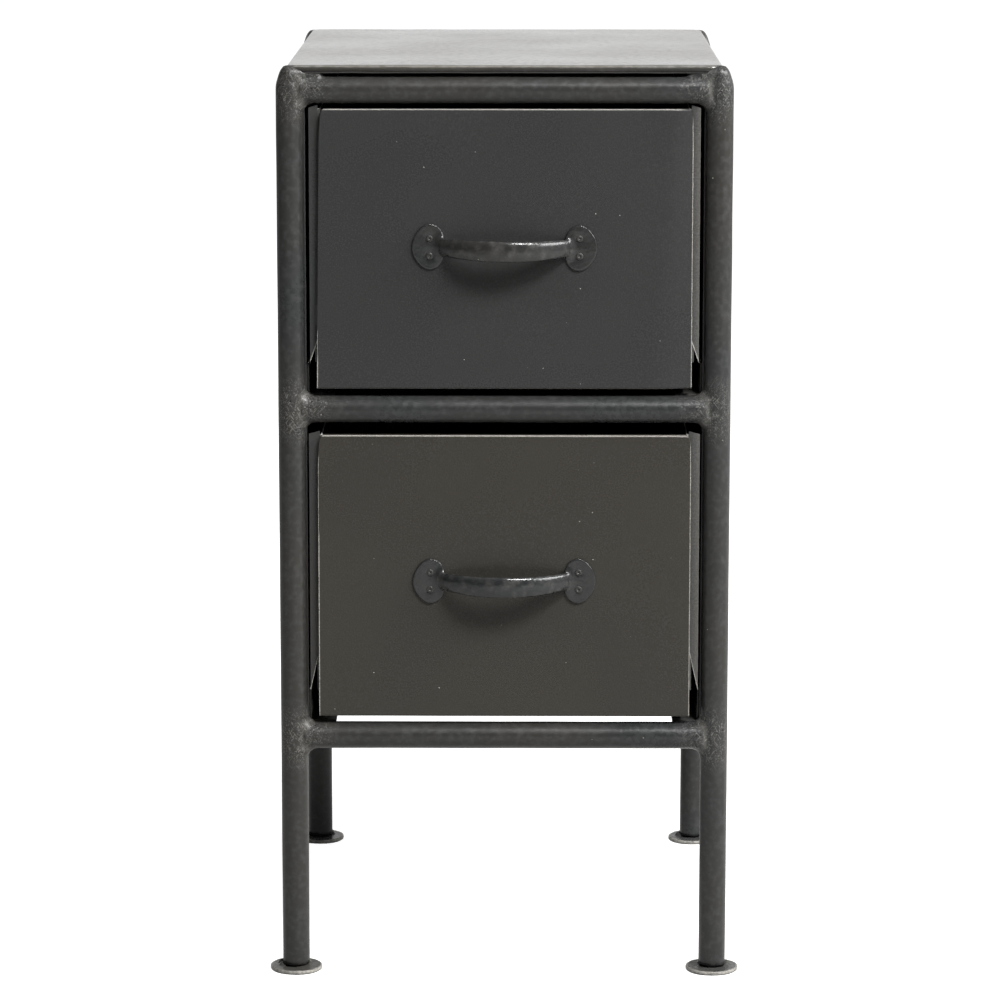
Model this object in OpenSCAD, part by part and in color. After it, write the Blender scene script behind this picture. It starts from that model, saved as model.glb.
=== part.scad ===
// Two-drawer bedside cabinet: a welded frame of round tube on disc feet, with a folded
// sheet top, sheet sides and back, angle runners and two folded-sheet drawers.
// The front faces -Y, the floor is Z = 0 and the origin is under the middle of the outer box.

/* [Frame] */
// Width over the posts
frame_w = 315; // [285:5:400]
// Depth over the posts
frame_d = 380; // [320:5:440]
// Height of the top sheet's upper face
frame_h = 643; // [620:1:720]
// Outside diameter of the frame tube
tube_d = 19; // [17:0.5:22]
// Wall of the frame tube
tube_wall = 1.5; // [1:0.1:2.5]
// Clear height of the upper drawer's bay, rail to rail
upper_bay_h = 203; // [181:2:221]
// Clear height of the lower drawer's bay, rail to rail
lower_bay_h = 214; // [180:2:220]
// Height of the top sheet above the top rails
top_rise = 7.5; // [7:0.5:12]
// Length of each post's rounded nose
nose_h = 15; // [12:1:20]
// How far the nose draws in at its tip
nose_in = 5.5; // [3:0.5:6]

/* [Feet] */
// Diameter of the foot discs
foot_d = 37; // [30:1:44]
// Thickness of the foot discs
foot_t = 3; // [2.5:0.5:5]
// Rounding of the foot discs' rims
foot_edge = 1; // [0.3:0.1:1.2]
// How far one side of a post's end stands off its disc
end_lift = 1; // [0.2:0.1:1.5]
// Width of the bead that holds a post to its disc
foot_bead = 2.5; // [1.5:0.5:4]

/* [Sheets] */
// Thickness of the side and back sheets
side_t = 1.2; // [0.8:0.1:2]
// Thickness of the top sheet
top_t = 1.5; // [1:0.1:2]
// How far the top sheet reaches past the post centres at the sides
top_reach = 2; // [1:0.5:4]
// How far the top sheet stands behind the front of the tubes, and before their rear
top_setback = 4; // [0:0.5:5]
// Depth of the folded lip round the top sheet
lip_h = 5.5; // [4:0.5:6.5]
// Plan radius of the top sheet's corners
top_corner = 8; // [5:0.5:12]
// Outer radius of the folds in the top sheet
top_fold = 2.2; // [2:0.1:3]
// How deep the sheets and beads bite into the tubes
bite = 0.3; // [0.1:0.1:0.5]

/* [Runners] */
// Height of a runner's upright leg above the rail
runner_h = 22; // [15:1:30]
// Width of a runner's flat leg
runner_w = 19; // [14:1:25]
// Thickness of the runners
runner_t = 1.5; // [1:0.1:2]
// Outer radius of the runners' fold
runner_fold = 2.5; // [2:0.1:3]

/* [Drawers] */
// Gap between a post and the drawer front
side_gap = 8.5; // [7:0.5:11]
// Gap between a rail and the drawer front above it
gap_below = 5.5; // [4:0.5:8]
// Gap between the upper drawer front and the top rail
upper_gap = 3.5; // [3:0.5:10]
// Gap between the lower drawer front and the middle rail
lower_gap = 8.5; // [3:0.5:10]
// How far the fronts stand behind the front of the tubes
setback = 2; // [0:0.5:5]
// Thickness of the drawer sheet
drawer_t = 1.2; // [0.8:0.1:1.5]
// Depth of the returns folded along a front's upper and lower edges
return_w = 8; // [5:1:14]
// Outer radius of the folds in a drawer front
front_fold = 1.8; // [1.6:0.1:2.5]
// Rounding of a drawer front's upper corners
front_corner = 2.5; // [0.5:0.5:5]
// How far a tray's walls stand in from the edges of its front
wall_inset = 2; // [1.5:0.5:4]
// How far a tray's front flanges show past the edges of its front
flange_show = 1.5; // [0.5:0.5:2]
// Gap between a front flange and the runner under it
notch_gap = 1.5; // [1:0.5:4]
// How far behind its front a tray's walls reach down to the runners
skid_in = 35; // [10:5:80]
// Running gap between a tray's lower edges and its runners
slide_gap = 0.3; // [0.2:0.1:0.5]
// Gap between a closed tray and the back sheet
rear_gap = 0.5; // [0.4:0.1:3]
// How far a tray's back wall stands below its side walls
back_drop = 6; // [0:1:20]

/* [Handles] */
// Width of a handle over its end plates
handle_w = 128; // [110:1:160]
// Width of an end plate
plate_w = 21.6; // [19:0.2:24]
// Height of an end plate
plate_h = 31.4; // [28:0.2:34]
// Radius of an end plate's outer side
plate_arc = 16.2; // [15:0.2:18]
// Radius of the two lobes of an end plate's inner side
lobe_r = 9; // [7.5:0.1:9.5]
// Thickness of an end plate
plate_t = 2; // [1.5:0.1:3]
// Rounding along an end plate's outer edge
plate_edge = 0.7; // [0.3:0.1:0.9]
// Distance from the drawer front to the outside of the bow
bow_reach = 24; // [18:1:32]
// Height of the bow where it meets the plates
bow_end = 11.4; // [8:0.2:12]
// How far the bow's upper edge rises towards its middle
bow_crest = 0.6; // [0.4:0.2:2]
// How far the bow's lower edge sags towards its middle
bow_belly = 2.4; // [1:0.2:4]
// Thickness of the bow at its crown
bow_t = 5; // [3.5:0.5:6]
// Radius of the bow's crowned outer face, seen in section
crown_r = 12; // [10:1:25]
// How far the bow's ends run in from the plates' inner edges
bow_seat = 6; // [4:0.5:8]
// Distance between the two rivets of a plate
rivet_pitch = 12.2; // [9:0.2:16]
// Distance from a plate's outer edge to its rivets
rivet_in = 12.2; // [9:0.2:13]
// Shank diameter of the rivets
rivet_d = 3.2; // [2.4:0.1:4]
// Head diameter of the rivets
rivet_head = 5; // [4.4:0.1:5.6]
// Head height of the rivets
rivet_rise = 0.9; // [0.5:0.1:1.4]
// Diameter of the dimple in a rivet's head
dimple_d = 1.8; // [1:0.1:2.2]
// How far the upper handle sits above the middle of its front
upper_handle_lift = 2; // [0:0.5:6]
// How far the lower handle sits below the middle of its front
lower_handle_drop = 2.5; // [0:0.5:6]

/* [Welds] */
// Size of the fillets where a rail meets a post
weld_leg = 5; // [3:0.5:7]
// Radius of the beads that join the top sheet's lip to the top rails
lip_bead_r = 3.8; // [3.2:0.1:4.4]
// Length of those beads, from the post inwards
lip_bead_len = 13; // [8:1:20]

/* [Hidden] */

$fn = 64;
fine = 160;                 // segments of the larger curves
finest = 1440;              // segments of the slow arcs of a handle's edges
past = 1;                   // how far a cutting shape runs past what it cuts
loose = 0.05;               // radial clearance of a rivet in its hole

left = -1;
right = 1;
front = -1;
rear = 1;

tube_r = tube_d / 2;
post_x = frame_w / 2 - tube_r;
post_y = frame_d / 2 - tube_r;

// Radius of the arc that is rise high over half its chord
function arc_radius(half_chord, rise) = (half_chord * half_chord + rise * rise) / (2 * rise);

// Heights of the rails' centre lines, from the top down
top_z = frame_h - top_rise - tube_r;
middle_z = top_z - tube_d - upper_bay_h;
bottom_z = middle_z - tube_d - lower_bay_h;

post_top = frame_h - top_t;
nose_z = post_top - nose_h;
nose_r = arc_radius(nose_h, nose_in);
lift_angle = atan(end_lift / tube_d);
foot_top = foot_t;

// The way each post's end stands off its disc, and the arc of the bead on the other side
front_left_lift = -60;
front_right_lift = -120;
rear_left_lift = -80;
rear_right_lift = -70;
bead_start = 80;
bead_sweep = 200;

// The side sheets lie against the inner side of the tubes
sheet_out = post_x - tube_r + bite;
sheet_in = sheet_out - side_t;
back_out = post_y - tube_r + bite;
back_in = back_out - side_t;
runner_front = weld_leg + bite - post_y;

top_x = post_x + top_reach;
top_y = post_y + tube_r - top_setback;

// Drawer fronts, from the outside in
front_hx = post_x - tube_r - side_gap;
front_y = -post_y - tube_r + setback;
front_back = front_y + drawer_t;
wall_x = front_hx - wall_inset;
flange_x = front_hx + flange_show;
tray_end = back_in - rear_gap;
upper_front_z = middle_z + tube_r + gap_below;
upper_front_h = upper_bay_h - gap_below - upper_gap;
lower_front_z = bottom_z + tube_r + gap_below;
lower_front_h = lower_bay_h - gap_below - lower_gap;

// Handles, in the plane of the drawer front
plate_out = handle_w / 2;
plate_in = plate_out - plate_w;
rivet_x = plate_out - rivet_in;
bow_foot_x = plate_in + bow_seat;
bow_rise = bow_reach - plate_t / 2;
bow_r = arc_radius(bow_foot_x, bow_rise);
bow_mid = bow_end + bow_crest + bow_belly;
bow_mid_z = (bow_crest - bow_belly) / 2;
upper_handle_z = upper_front_z + upper_front_h / 2 + upper_handle_lift;
lower_handle_z = lower_front_z + lower_front_h / 2 - lower_handle_drop;

// The whole is moved so that the origin lies under the middle of its box
reach_front = bow_reach - front_y;
reach_rear = post_y + foot_d / 2;
origin_y = (reach_front - reach_rear) / 2;

iron = [0.23, 0.23, 0.24];
sheet_grey = [0.27, 0.27, 0.27];
top_grey = [0.45, 0.45, 0.43];
weld_grey = [0.33, 0.32, 0.30];
bright = [0.55, 0.55, 0.53];

module placed() {
    translate([0, origin_y, 0]) children();
}

module on_side(side) {
    if (side < 0) mirror([1, 0, 0]) children();
    else children();
}

module on_end(end) {
    if (end < 0) mirror([0, 1, 0]) children();
    else children();
}

// Solid outer shapes of the tubes, which the other pieces are cut to fit

module post_profile() {
    square([tube_r, nose_z]);
    intersection() {
        translate([0, nose_z]) square([tube_r, nose_h]);
        translate([tube_r - nose_r, nose_z]) circle(nose_r, $fn = fine);
    }
}

module post_space(side, end) {
    translate([side * post_x, end * post_y, 0]) rotate_extrude() post_profile();
}

module all_posts() {
    for (side = [left, right], end = [front, rear]) post_space(side, end);
}

module cross_tube(end, z, d = tube_d) {
    translate([-post_x, end * post_y, z]) rotate([0, 90, 0]) cylinder(h = 2 * post_x, d = d);
}

module side_tube(side, z, d = tube_d) {
    translate([side * post_x, post_y, z]) rotate([90, 0, 0]) cylinder(h = 2 * post_y, d = d);
}

module all_cross_tubes() {
    for (z = [top_z, middle_z, bottom_z]) cross_tube(front, z);
    for (z = [top_z, bottom_z]) cross_tube(rear, z);
}

module all_side_tubes() {
    for (side = [left, right], z = [top_z, bottom_z]) side_tube(side, z);
}

// Frame

module post(side, end, lift_turn) {
    color(iron) difference() {
        post_space(side, end);
        translate([side * post_x, end * post_y, -past]) cylinder(h = nose_z + past, r = tube_r - tube_wall);
        translate([side * post_x, end * post_y, 0]) rotate(lift_turn) end_cut();
    }
}

// Everything below a slightly skew plane that touches the disc on one side
module end_cut() {
    translate([-tube_r, -tube_d, foot_top]) rotate([0, -lift_angle, 0])
        translate([-tube_r, 0, -2 * foot_top]) cube([2 * tube_d, 2 * tube_d, 2 * foot_top]);
}

module foot(side, end) {
    color(iron) translate([side * post_x, end * post_y, 0]) rotate_extrude() {
        square([foot_d / 2 - foot_edge, foot_t]);
        translate([0, foot_edge]) square([foot_d / 2, foot_t - 2 * foot_edge]);
        for (z = [foot_edge, foot_t - foot_edge])
            translate([foot_d / 2 - foot_edge, z]) circle(foot_edge);
    }
}

module cross_rail(end, z) {
    color(iron) difference() {
        cross_tube(end, z);
        cross_tube(end, z, tube_d - 2 * tube_wall);
        all_posts();
    }
}

module side_rail(side, z) {
    color(iron) difference() {
        side_tube(side, z);
        side_tube(side, z, tube_d - 2 * tube_wall);
        all_posts();
        for (end = [front, rear]) cross_tube(end, z);
    }
}

// Sheets

module plan(hx, hy, corner) {
    square([2 * hx, 2 * (hy - corner)], center = true);
    square([2 * (hx - corner), 2 * hy], center = true);
    for (sx = [-1, 1], sy = [-1, 1])
        translate([sx * (hx - corner), sy * (hy - corner)]) circle(corner);
}

// A slab whose upper rim is rounded by fold
module soft_slab(hx, hy, h, corner, fold) {
    linear_extrude(h - fold) plan(hx, hy, corner);
    linear_extrude(h) plan(hx - fold, hy - fold, corner - fold);
    for (sx = [-1, 1], sy = [-1, 1])
        translate([sx * (hx - corner), sy * (hy - corner), h - fold])
            rotate_extrude() translate([corner - fold, 0]) circle(fold);
    for (sy = [-1, 1])
        translate([corner - hx, sy * (hy - fold), h - fold])
            rotate([0, 90, 0]) cylinder(h = 2 * (hx - corner), r = fold);
    for (sx = [-1, 1])
        translate([sx * (hx - fold), hy - corner, h - fold])
            rotate([90, 0, 0]) cylinder(h = 2 * (hy - corner), r = fold);
}

module top_sheet() {
    color(top_grey) difference() {
        translate([0, 0, frame_h - lip_h]) soft_slab(top_x, top_y, lip_h, top_corner, top_fold);
        translate([0, 0, frame_h - lip_h - past])
            soft_slab(top_x - top_t, top_y - top_t, lip_h - top_t + past, top_corner - top_t, top_fold - top_t);
        all_posts();
    }
}

// The right side sheet before its edges are fitted to the tubes
module side_blank() {
    translate([sheet_in, -post_y, bottom_z]) cube([side_t, 2 * post_y, top_z - bottom_z]);
}

module side_sheet(side) {
    color(sheet_grey) on_side(side) difference() {
        side_blank();
        all_posts();
        all_cross_tubes();
        all_side_tubes();
    }
}

module back_sheet() {
    color(sheet_grey) difference() {
        translate([-sheet_in, back_in, bottom_z]) cube([2 * sheet_in, side_t, top_z - bottom_z]);
        all_posts();
        all_cross_tubes();
    }
}

// An L seen from its end, with its outer corner at the origin
module angle_profile(w, h, t, fold) {
    difference() {
        square([w, h]);
        translate([t, t]) square([w, h]);
        difference() {
            square(fold);
            translate([fold, fold]) circle(fold);
        }
    }
}

module runner(side, rail_z) {
    rail_top = rail_z + tube_r;
    color(sheet_grey) on_side(side) difference() {
        translate([sheet_in, back_in, rail_top - runner_t]) rotate([90, 0, 0]) mirror([1, 0, 0])
            linear_extrude(back_in - runner_front)
                angle_profile(runner_w, runner_h + runner_t, runner_t, runner_fold);
        cross_tube(front, rail_z);
    }
}

// Welds

// A concave fillet in the upper corner between a post, at +x, and a rail along x
module fillet(z) {
    difference() {
        intersection() {
            translate([post_x - tube_r - weld_leg, weld_leg, z + tube_r - bite]) rotate([90, 0, 0])
                linear_extrude(2 * weld_leg) difference() {
                    square(weld_leg + 2 * bite);
                    translate([0, weld_leg + bite]) circle(weld_leg);
                }
            translate([post_x - tube_r, 0, z + tube_r]) sphere(weld_leg + 2 * bite);
        }
        translate([post_x, 0, 0]) cylinder(h = frame_h, r = tube_r);
        translate([0, 0, z]) rotate([0, 90, 0]) cylinder(h = frame_w, r = tube_r);
    }
}

module fillet_below(z) {
    translate([0, 0, 2 * z]) mirror([0, 0, 1]) fillet(z);
}

// Fillets at both ends of a rail; the top rails have none above, where the lip beads are
module rail_end_welds(z) {
    fillet_below(z);
    if (z < top_z) fillet(z);
}

module cross_rail_welds(end, heights) {
    color(weld_grey) for (z = heights, side = [left, right]) on_side(side) difference() {
        translate([0, end * post_y, 0]) rail_end_welds(z);
        translate([sheet_in, -post_y, 0]) cube([tube_d, 2 * post_y, frame_h]);
    }
}

module side_rail_welds() {
    color(weld_grey) for (side = [left, right], end = [front, rear], z = [top_z, bottom_z])
        translate([side * post_x, 0, 0]) on_end(end) rotate(90)
            translate([post_y - post_x, 0, 0]) rail_end_welds(z);
}

// Beads in the groove between the top sheet's lip and the top rails, next to the posts
module lip_welds() {
    color(weld_grey) for (side = [left, right], end = [front, rear])
        on_side(side) on_end(end) lip_bead();
}

// The bead at +x, +y
module lip_bead() {
    lip_z = frame_h - lip_h;
    end_x = post_x - tube_r - lip_bead_len;
    difference() {
        translate([end_x, top_y - lip_bead_r + bite, lip_z - bite]) {
            sphere(lip_bead_r);
            rotate([0, 90, 0]) cylinder(h = post_x - end_x, r = lip_bead_r);
        }
        translate([end_x - 2 * lip_bead_r, 0, lip_z]) cube([frame_w, frame_d, 2 * lip_bead_r]);
        cross_tube(rear, top_z);
        side_tube(right, top_z);
        post_space(right, rear);
    }
}

module foot_bead_at(side, end, lift_turn) {
    translate([side * post_x, end * post_y, foot_top]) rotate(lift_turn + bead_start)
        rotate_extrude(angle = bead_sweep) translate([tube_r, 0]) difference() {
            square(foot_bead);
            translate([foot_bead, foot_bead]) circle(foot_bead);
        }
}

// Drawers

module front_holes(handle_z) {
    for (side = [left, right], step = [-1, 1])
        translate([side * rivet_x, front_y - plate_t - past, handle_z + step * rivet_pitch / 2])
            rotate([-90, 0, 0]) cylinder(h = plate_t + drawer_t + 2 * past, d = rivet_d + 2 * loose);
}

// A front seen from its side: a plate with a return folded back along both edges
module front_profile(h) {
    translate([front_y, 0]) {
        angle_profile(return_w, h / 2 + past, drawer_t, front_fold);
        translate([0, h]) mirror([0, 1]) angle_profile(return_w, h / 2 + past, drawer_t, front_fold);
    }
}

// A front's outline: square below, with both upper corners rounded
module front_outline(h) {
    translate([-front_hx, 0]) square([2 * front_hx, h - front_corner]);
    translate([front_corner - front_hx, 0]) square([2 * (front_hx - front_corner), h]);
    for (side = [left, right])
        translate([side * (front_hx - front_corner), h - front_corner]) circle(front_corner);
}

module drawer_front(z, h, handle_z) {
    color(sheet_grey) difference() {
        intersection() {
            translate([-front_hx, 0, z]) rotate([90, 0, 90])
                linear_extrude(2 * front_hx) front_profile(h);
            translate([0, front_back + return_w, z]) rotate([90, 0, 0])
                linear_extrude(2 * return_w) front_outline(h);
        }
        for (side = [left, right])
            translate([side * front_hx, front_back + return_w, z + h / 2])
                cube([2 * (front_hx - wall_x + drawer_t + loose), 2 * return_w, h + 2 * past], center = true);
        front_holes(handle_z);
    }
}

module tray(rail_z, z, h) {
    skid_z = rail_z + tube_r + slide_gap;
    floor_z = z + drawer_t;
    wall_len = tray_end - front_back;
    flange_z = rail_z + tube_r + runner_h + notch_gap;
    color(sheet_grey) {
        translate([-wall_x, front_back, floor_z]) cube([2 * wall_x, wall_len, drawer_t]);
        translate([-wall_x, tray_end - drawer_t, floor_z]) cube([2 * wall_x, drawer_t, h - drawer_t - back_drop]);
        for (side = [left, right]) on_side(side) {
            translate([wall_x - drawer_t, front_back, floor_z]) cube([drawer_t, wall_len, z + h - floor_z]);
            translate([wall_x - drawer_t, front_back + skid_in, skid_z])
                cube([drawer_t, wall_len - skid_in, floor_z - skid_z]);
            translate([wall_x - drawer_t, front_back, flange_z])
                cube([flange_x - wall_x + drawer_t, drawer_t, z + h - flange_z]);
        }
    }
}

// Handles

// The right end plate seen from the front, reaching inset less far all round:
// one slow arc outside, two lobes with a waist between them inside
module plate_outline(inset = 0) {
    lobe_x = plate_in + lobe_r;
    for (step = [-1, 1])
        translate([lobe_x, step * (plate_h / 2 - lobe_r)]) circle(lobe_r - inset);
    intersection() {
        translate([plate_out - plate_arc, 0]) circle(plate_arc - inset);
        translate([lobe_x, inset - plate_h / 2]) square([plate_w, plate_h - 2 * inset]);
    }
}

// The bow's section: flat behind, crowned in front, in the plane of its turning axis
module bow_section() {
    intersection() {
        translate([bow_r - bow_t, -bow_mid / 2]) square([bow_t, bow_mid]);
        translate([bow_r - crown_r, 0]) circle(crown_r, $fn = fine);
    }
}

// The bow seen from the front: a flat upper arc and a deeper one below
module bow_outline() {
    crest_r = arc_radius(bow_foot_x, bow_crest);
    belly_r = arc_radius(bow_foot_x, bow_belly);
    intersection() {
        translate([0, bow_end / 2 + bow_crest - crest_r]) circle(crest_r, $fn = finest);
        translate([0, belly_r - bow_end / 2 - bow_belly]) circle(belly_r, $fn = finest);
    }
}

module handle(z) {
    color(iron) translate([0, front_y, z]) difference() {
        union() {
            intersection() {
                translate([0, bow_r - bow_reach, bow_mid_z]) rotate_extrude($fn = fine) bow_section();
                translate([0, plate_t, 0]) rotate([90, 0, 0])
                    linear_extrude(bow_reach + plate_t + past) bow_outline();
                translate([-handle_w / 2, -bow_reach - past, -plate_h / 2])
                    cube([handle_w, bow_reach + past, plate_h]);
            }
            for (side = [left, right]) on_side(side) rotate([90, 0, 0]) {
                linear_extrude(plate_t - plate_edge) plate_outline();
                linear_extrude(plate_t) plate_outline(plate_edge);
            }
        }
        translate([0, -front_y, 0]) front_holes(0);
    }
}

module rivets(z) {
    color(bright) for (side = [left, right], step = [-1, 1])
        translate([side * rivet_x, front_y, z + step * rivet_pitch / 2]) rotate([90, 0, 0])
            rotate_extrude() rivet_profile();
}

module rivet_profile() {
    dome_r = (rivet_head * rivet_head / 4 + rivet_rise * rivet_rise) / (2 * rivet_rise);
    translate([0, -drawer_t]) square([rivet_d / 2, drawer_t + plate_t]);
    translate([0, plate_t]) difference() {
        intersection() {
            square([rivet_head / 2, rivet_rise]);
            translate([0, rivet_rise - dome_r]) circle(dome_r);
        }
        translate([0, rivet_rise]) circle(dimple_d / 2);
    }
}

placed() post(left, front, front_left_lift);  // front_left_post
placed() post(right, front, front_right_lift);  // front_right_post
placed() post(left, rear, rear_left_lift);  // rear_left_post
placed() post(right, rear, rear_right_lift);  // rear_right_post
placed() foot(left, front);  // front_left_foot
placed() foot(right, front);  // front_right_foot
placed() foot(left, rear);  // rear_left_foot
placed() foot(right, rear);  // rear_right_foot
placed() cross_rail(front, top_z);  // front_top_rail
placed() cross_rail(front, middle_z);  // front_middle_rail
placed() cross_rail(front, bottom_z);  // front_bottom_rail
placed() cross_rail(rear, top_z);  // rear_top_rail
placed() cross_rail(rear, bottom_z);  // rear_bottom_rail
placed() side_rail(left, top_z);  // left_top_rail
placed() side_rail(left, bottom_z);  // left_bottom_rail
placed() side_rail(right, top_z);  // right_top_rail
placed() side_rail(right, bottom_z);  // right_bottom_rail
placed() top_sheet();
placed() side_sheet(left);  // left_sheet
placed() side_sheet(right);  // right_sheet
placed() back_sheet();
placed() runner(left, middle_z);  // upper_left_runner
placed() runner(right, middle_z);  // upper_right_runner
placed() runner(left, bottom_z);  // lower_left_runner
placed() runner(right, bottom_z);  // lower_right_runner
placed() cross_rail_welds(front, [top_z, middle_z, bottom_z]);  // front_rail_welds
placed() cross_rail_welds(rear, [top_z, bottom_z]);  // rear_rail_welds
placed() side_rail_welds();
placed() lip_welds();
placed() color(weld_grey) {  // foot_welds
    foot_bead_at(left, front, front_left_lift);
    foot_bead_at(right, front, front_right_lift);
    foot_bead_at(left, rear, rear_left_lift);
    foot_bead_at(right, rear, rear_right_lift);
}
placed() tray(middle_z, upper_front_z, upper_front_h);  // upper_tray
placed() drawer_front(upper_front_z, upper_front_h, upper_handle_z);  // upper_front
placed() handle(upper_handle_z);  // upper_handle
placed() rivets(upper_handle_z);  // upper_rivets
placed() tray(bottom_z, lower_front_z, lower_front_h);  // lower_tray
placed() drawer_front(lower_front_z, lower_front_h, lower_handle_z);  // lower_front
placed() handle(lower_handle_z);  // lower_handle
placed() rivets(lower_handle_z);  // lower_rivets
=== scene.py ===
import math
import bmesh
import bpy
import numpy as np
from mathutils import Matrix, Vector, noise


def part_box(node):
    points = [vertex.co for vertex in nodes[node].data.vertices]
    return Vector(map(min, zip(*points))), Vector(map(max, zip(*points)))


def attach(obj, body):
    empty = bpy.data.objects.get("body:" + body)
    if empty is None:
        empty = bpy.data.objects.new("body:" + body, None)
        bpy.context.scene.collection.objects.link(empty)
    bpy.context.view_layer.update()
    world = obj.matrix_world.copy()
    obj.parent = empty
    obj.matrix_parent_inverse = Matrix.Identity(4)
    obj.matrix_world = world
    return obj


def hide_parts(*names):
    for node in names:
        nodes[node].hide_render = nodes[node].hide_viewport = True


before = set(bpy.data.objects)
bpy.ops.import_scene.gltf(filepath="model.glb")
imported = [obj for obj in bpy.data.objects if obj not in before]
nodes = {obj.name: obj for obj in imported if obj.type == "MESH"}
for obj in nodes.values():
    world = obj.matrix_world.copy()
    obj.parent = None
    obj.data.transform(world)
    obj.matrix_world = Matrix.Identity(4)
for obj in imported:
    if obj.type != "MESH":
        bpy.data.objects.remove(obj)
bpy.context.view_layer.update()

mm = 0.001  # every size below is in millimetres, every mesh in metres
print("frame loaded:", len(nodes), "nodes")


def addObject(name, data):
    thing = bpy.data.objects.new(name, data)
    bpy.context.scene.collection.objects.link(thing)
    return thing


# The camera stands three metres in front of the cabinet, at hip height, and looks slightly down

cameraLook = {"place": (12.25, -3060.8, 858.8), "pitch": 0.1780, "yaw": -0.0053, "roll": 0.0005,
              "lens": 151.03, "sensor": 36, "clip": (0.1, 100)}


def setCamera(look):
    data = bpy.data.cameras.new("camera")
    data.sensor_width = look["sensor"]
    data.lens = look["lens"]
    data.clip_start, data.clip_end = look["clip"]
    camera = addObject("camera", data)
    turn = (Matrix.Rotation(-look["yaw"], 4, "Z") @ Matrix.Rotation(math.pi / 2 - look["pitch"], 4, "X")
            @ Matrix.Rotation(look["roll"], 4, "Z"))
    camera.matrix_world = Matrix.Translation(Vector(look["place"]) * mm) @ turn
    bpy.context.scene.camera = camera
    bpy.context.scene.view_settings.view_transform = "Standard"


setCamera(cameraLook)
print("camera set")


# Materials: lacquered mild steel in several states

def linear(code):  # an sRGB hex colour as linear values
    parts = [int(code[i:i + 2], 16) / 255 for i in (1, 3, 5)]
    return tuple(c / 12.92 if c <= 0.04045 else ((c + 0.055) / 1.055) ** 2.4 for c in parts) + (1.0,)


def addNode(tree, kind, settings=None, links=None):
    node = tree.nodes.new(kind)
    for name, value in (settings or {}).items():
        if isinstance(name, int) or name in node.inputs:
            node.inputs[name].default_value = value
        else:
            setattr(node, name, value)
    for name, source in (links or {}).items():
        tree.links.new(source, node.inputs[name])
    return node


def emptyTree(owner):  # the node tree of a material or world, without its first nodes
    owner.use_nodes = True
    owner.node_tree.nodes.clear()
    return owner.node_tree


# Pattern sizes are in millimetres. A Cut is the span of a pattern's noise over which it fades in, and
# a Share is the most that it covers. Three attributes say where on a piece the edges are rubbed and
# highlights are painted, where its welds were dressed with the grinder and where shade is painted in.
steelLook = {"cool": "#2f3032", "warm": "#33312e", "pale": "#474748", "dark": "#151413", "metalAndHighlight": "#a09d97",
             "cloud": 110, "cloudDetail": 1.0, "cloudCut": (0.36, 0.64), "cloudShare": 1.0,
             "grain": 4, "grainDetail": 5.0, "grainCut": (0.45, 0.75), "grainShare": 0.3,
             "streak": 14, "streakDetail": 1.0, "streakCut": (0.52, 0.72), "streakShare": 0.14,
             "streakWay": (1, 1, 0.2),
             "speck": 9, "speckSize": 0.05, "speckCore": 0.6, "speckShare": 0.3, "speckColour": "#9a9892",
             "stroke": 0.8, "strokeDetail": 2.0, "strokeCut": (0.6, 0.7), "strokeShare": 0.24,
             "strokeWay": (1, 1, 9), "strokeTurns": (0.7, -0.6),
             "sand": 0.9, "sandDetail": 2.0, "sandCut": (0.56, 0.72), "sandShare": 0.24,
             "pit": 3.2, "pitCut": (0.3, 0.18), "pitPatch": (0.5, 0.6),
             "wearAndHighlightCut": (0.3, 0.6), "wearAndHighlightShare": (0.6, 1.4),
             "rough": (0.24, 0.32), "roughCut": (0.3, 0.7), "roughGrain": 0.2,
             "nib": 1.5, "cut": -0.8, "hole": -3.0, "bump": 0.1, "metallic": 0.0, "ior": 1.25}


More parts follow.
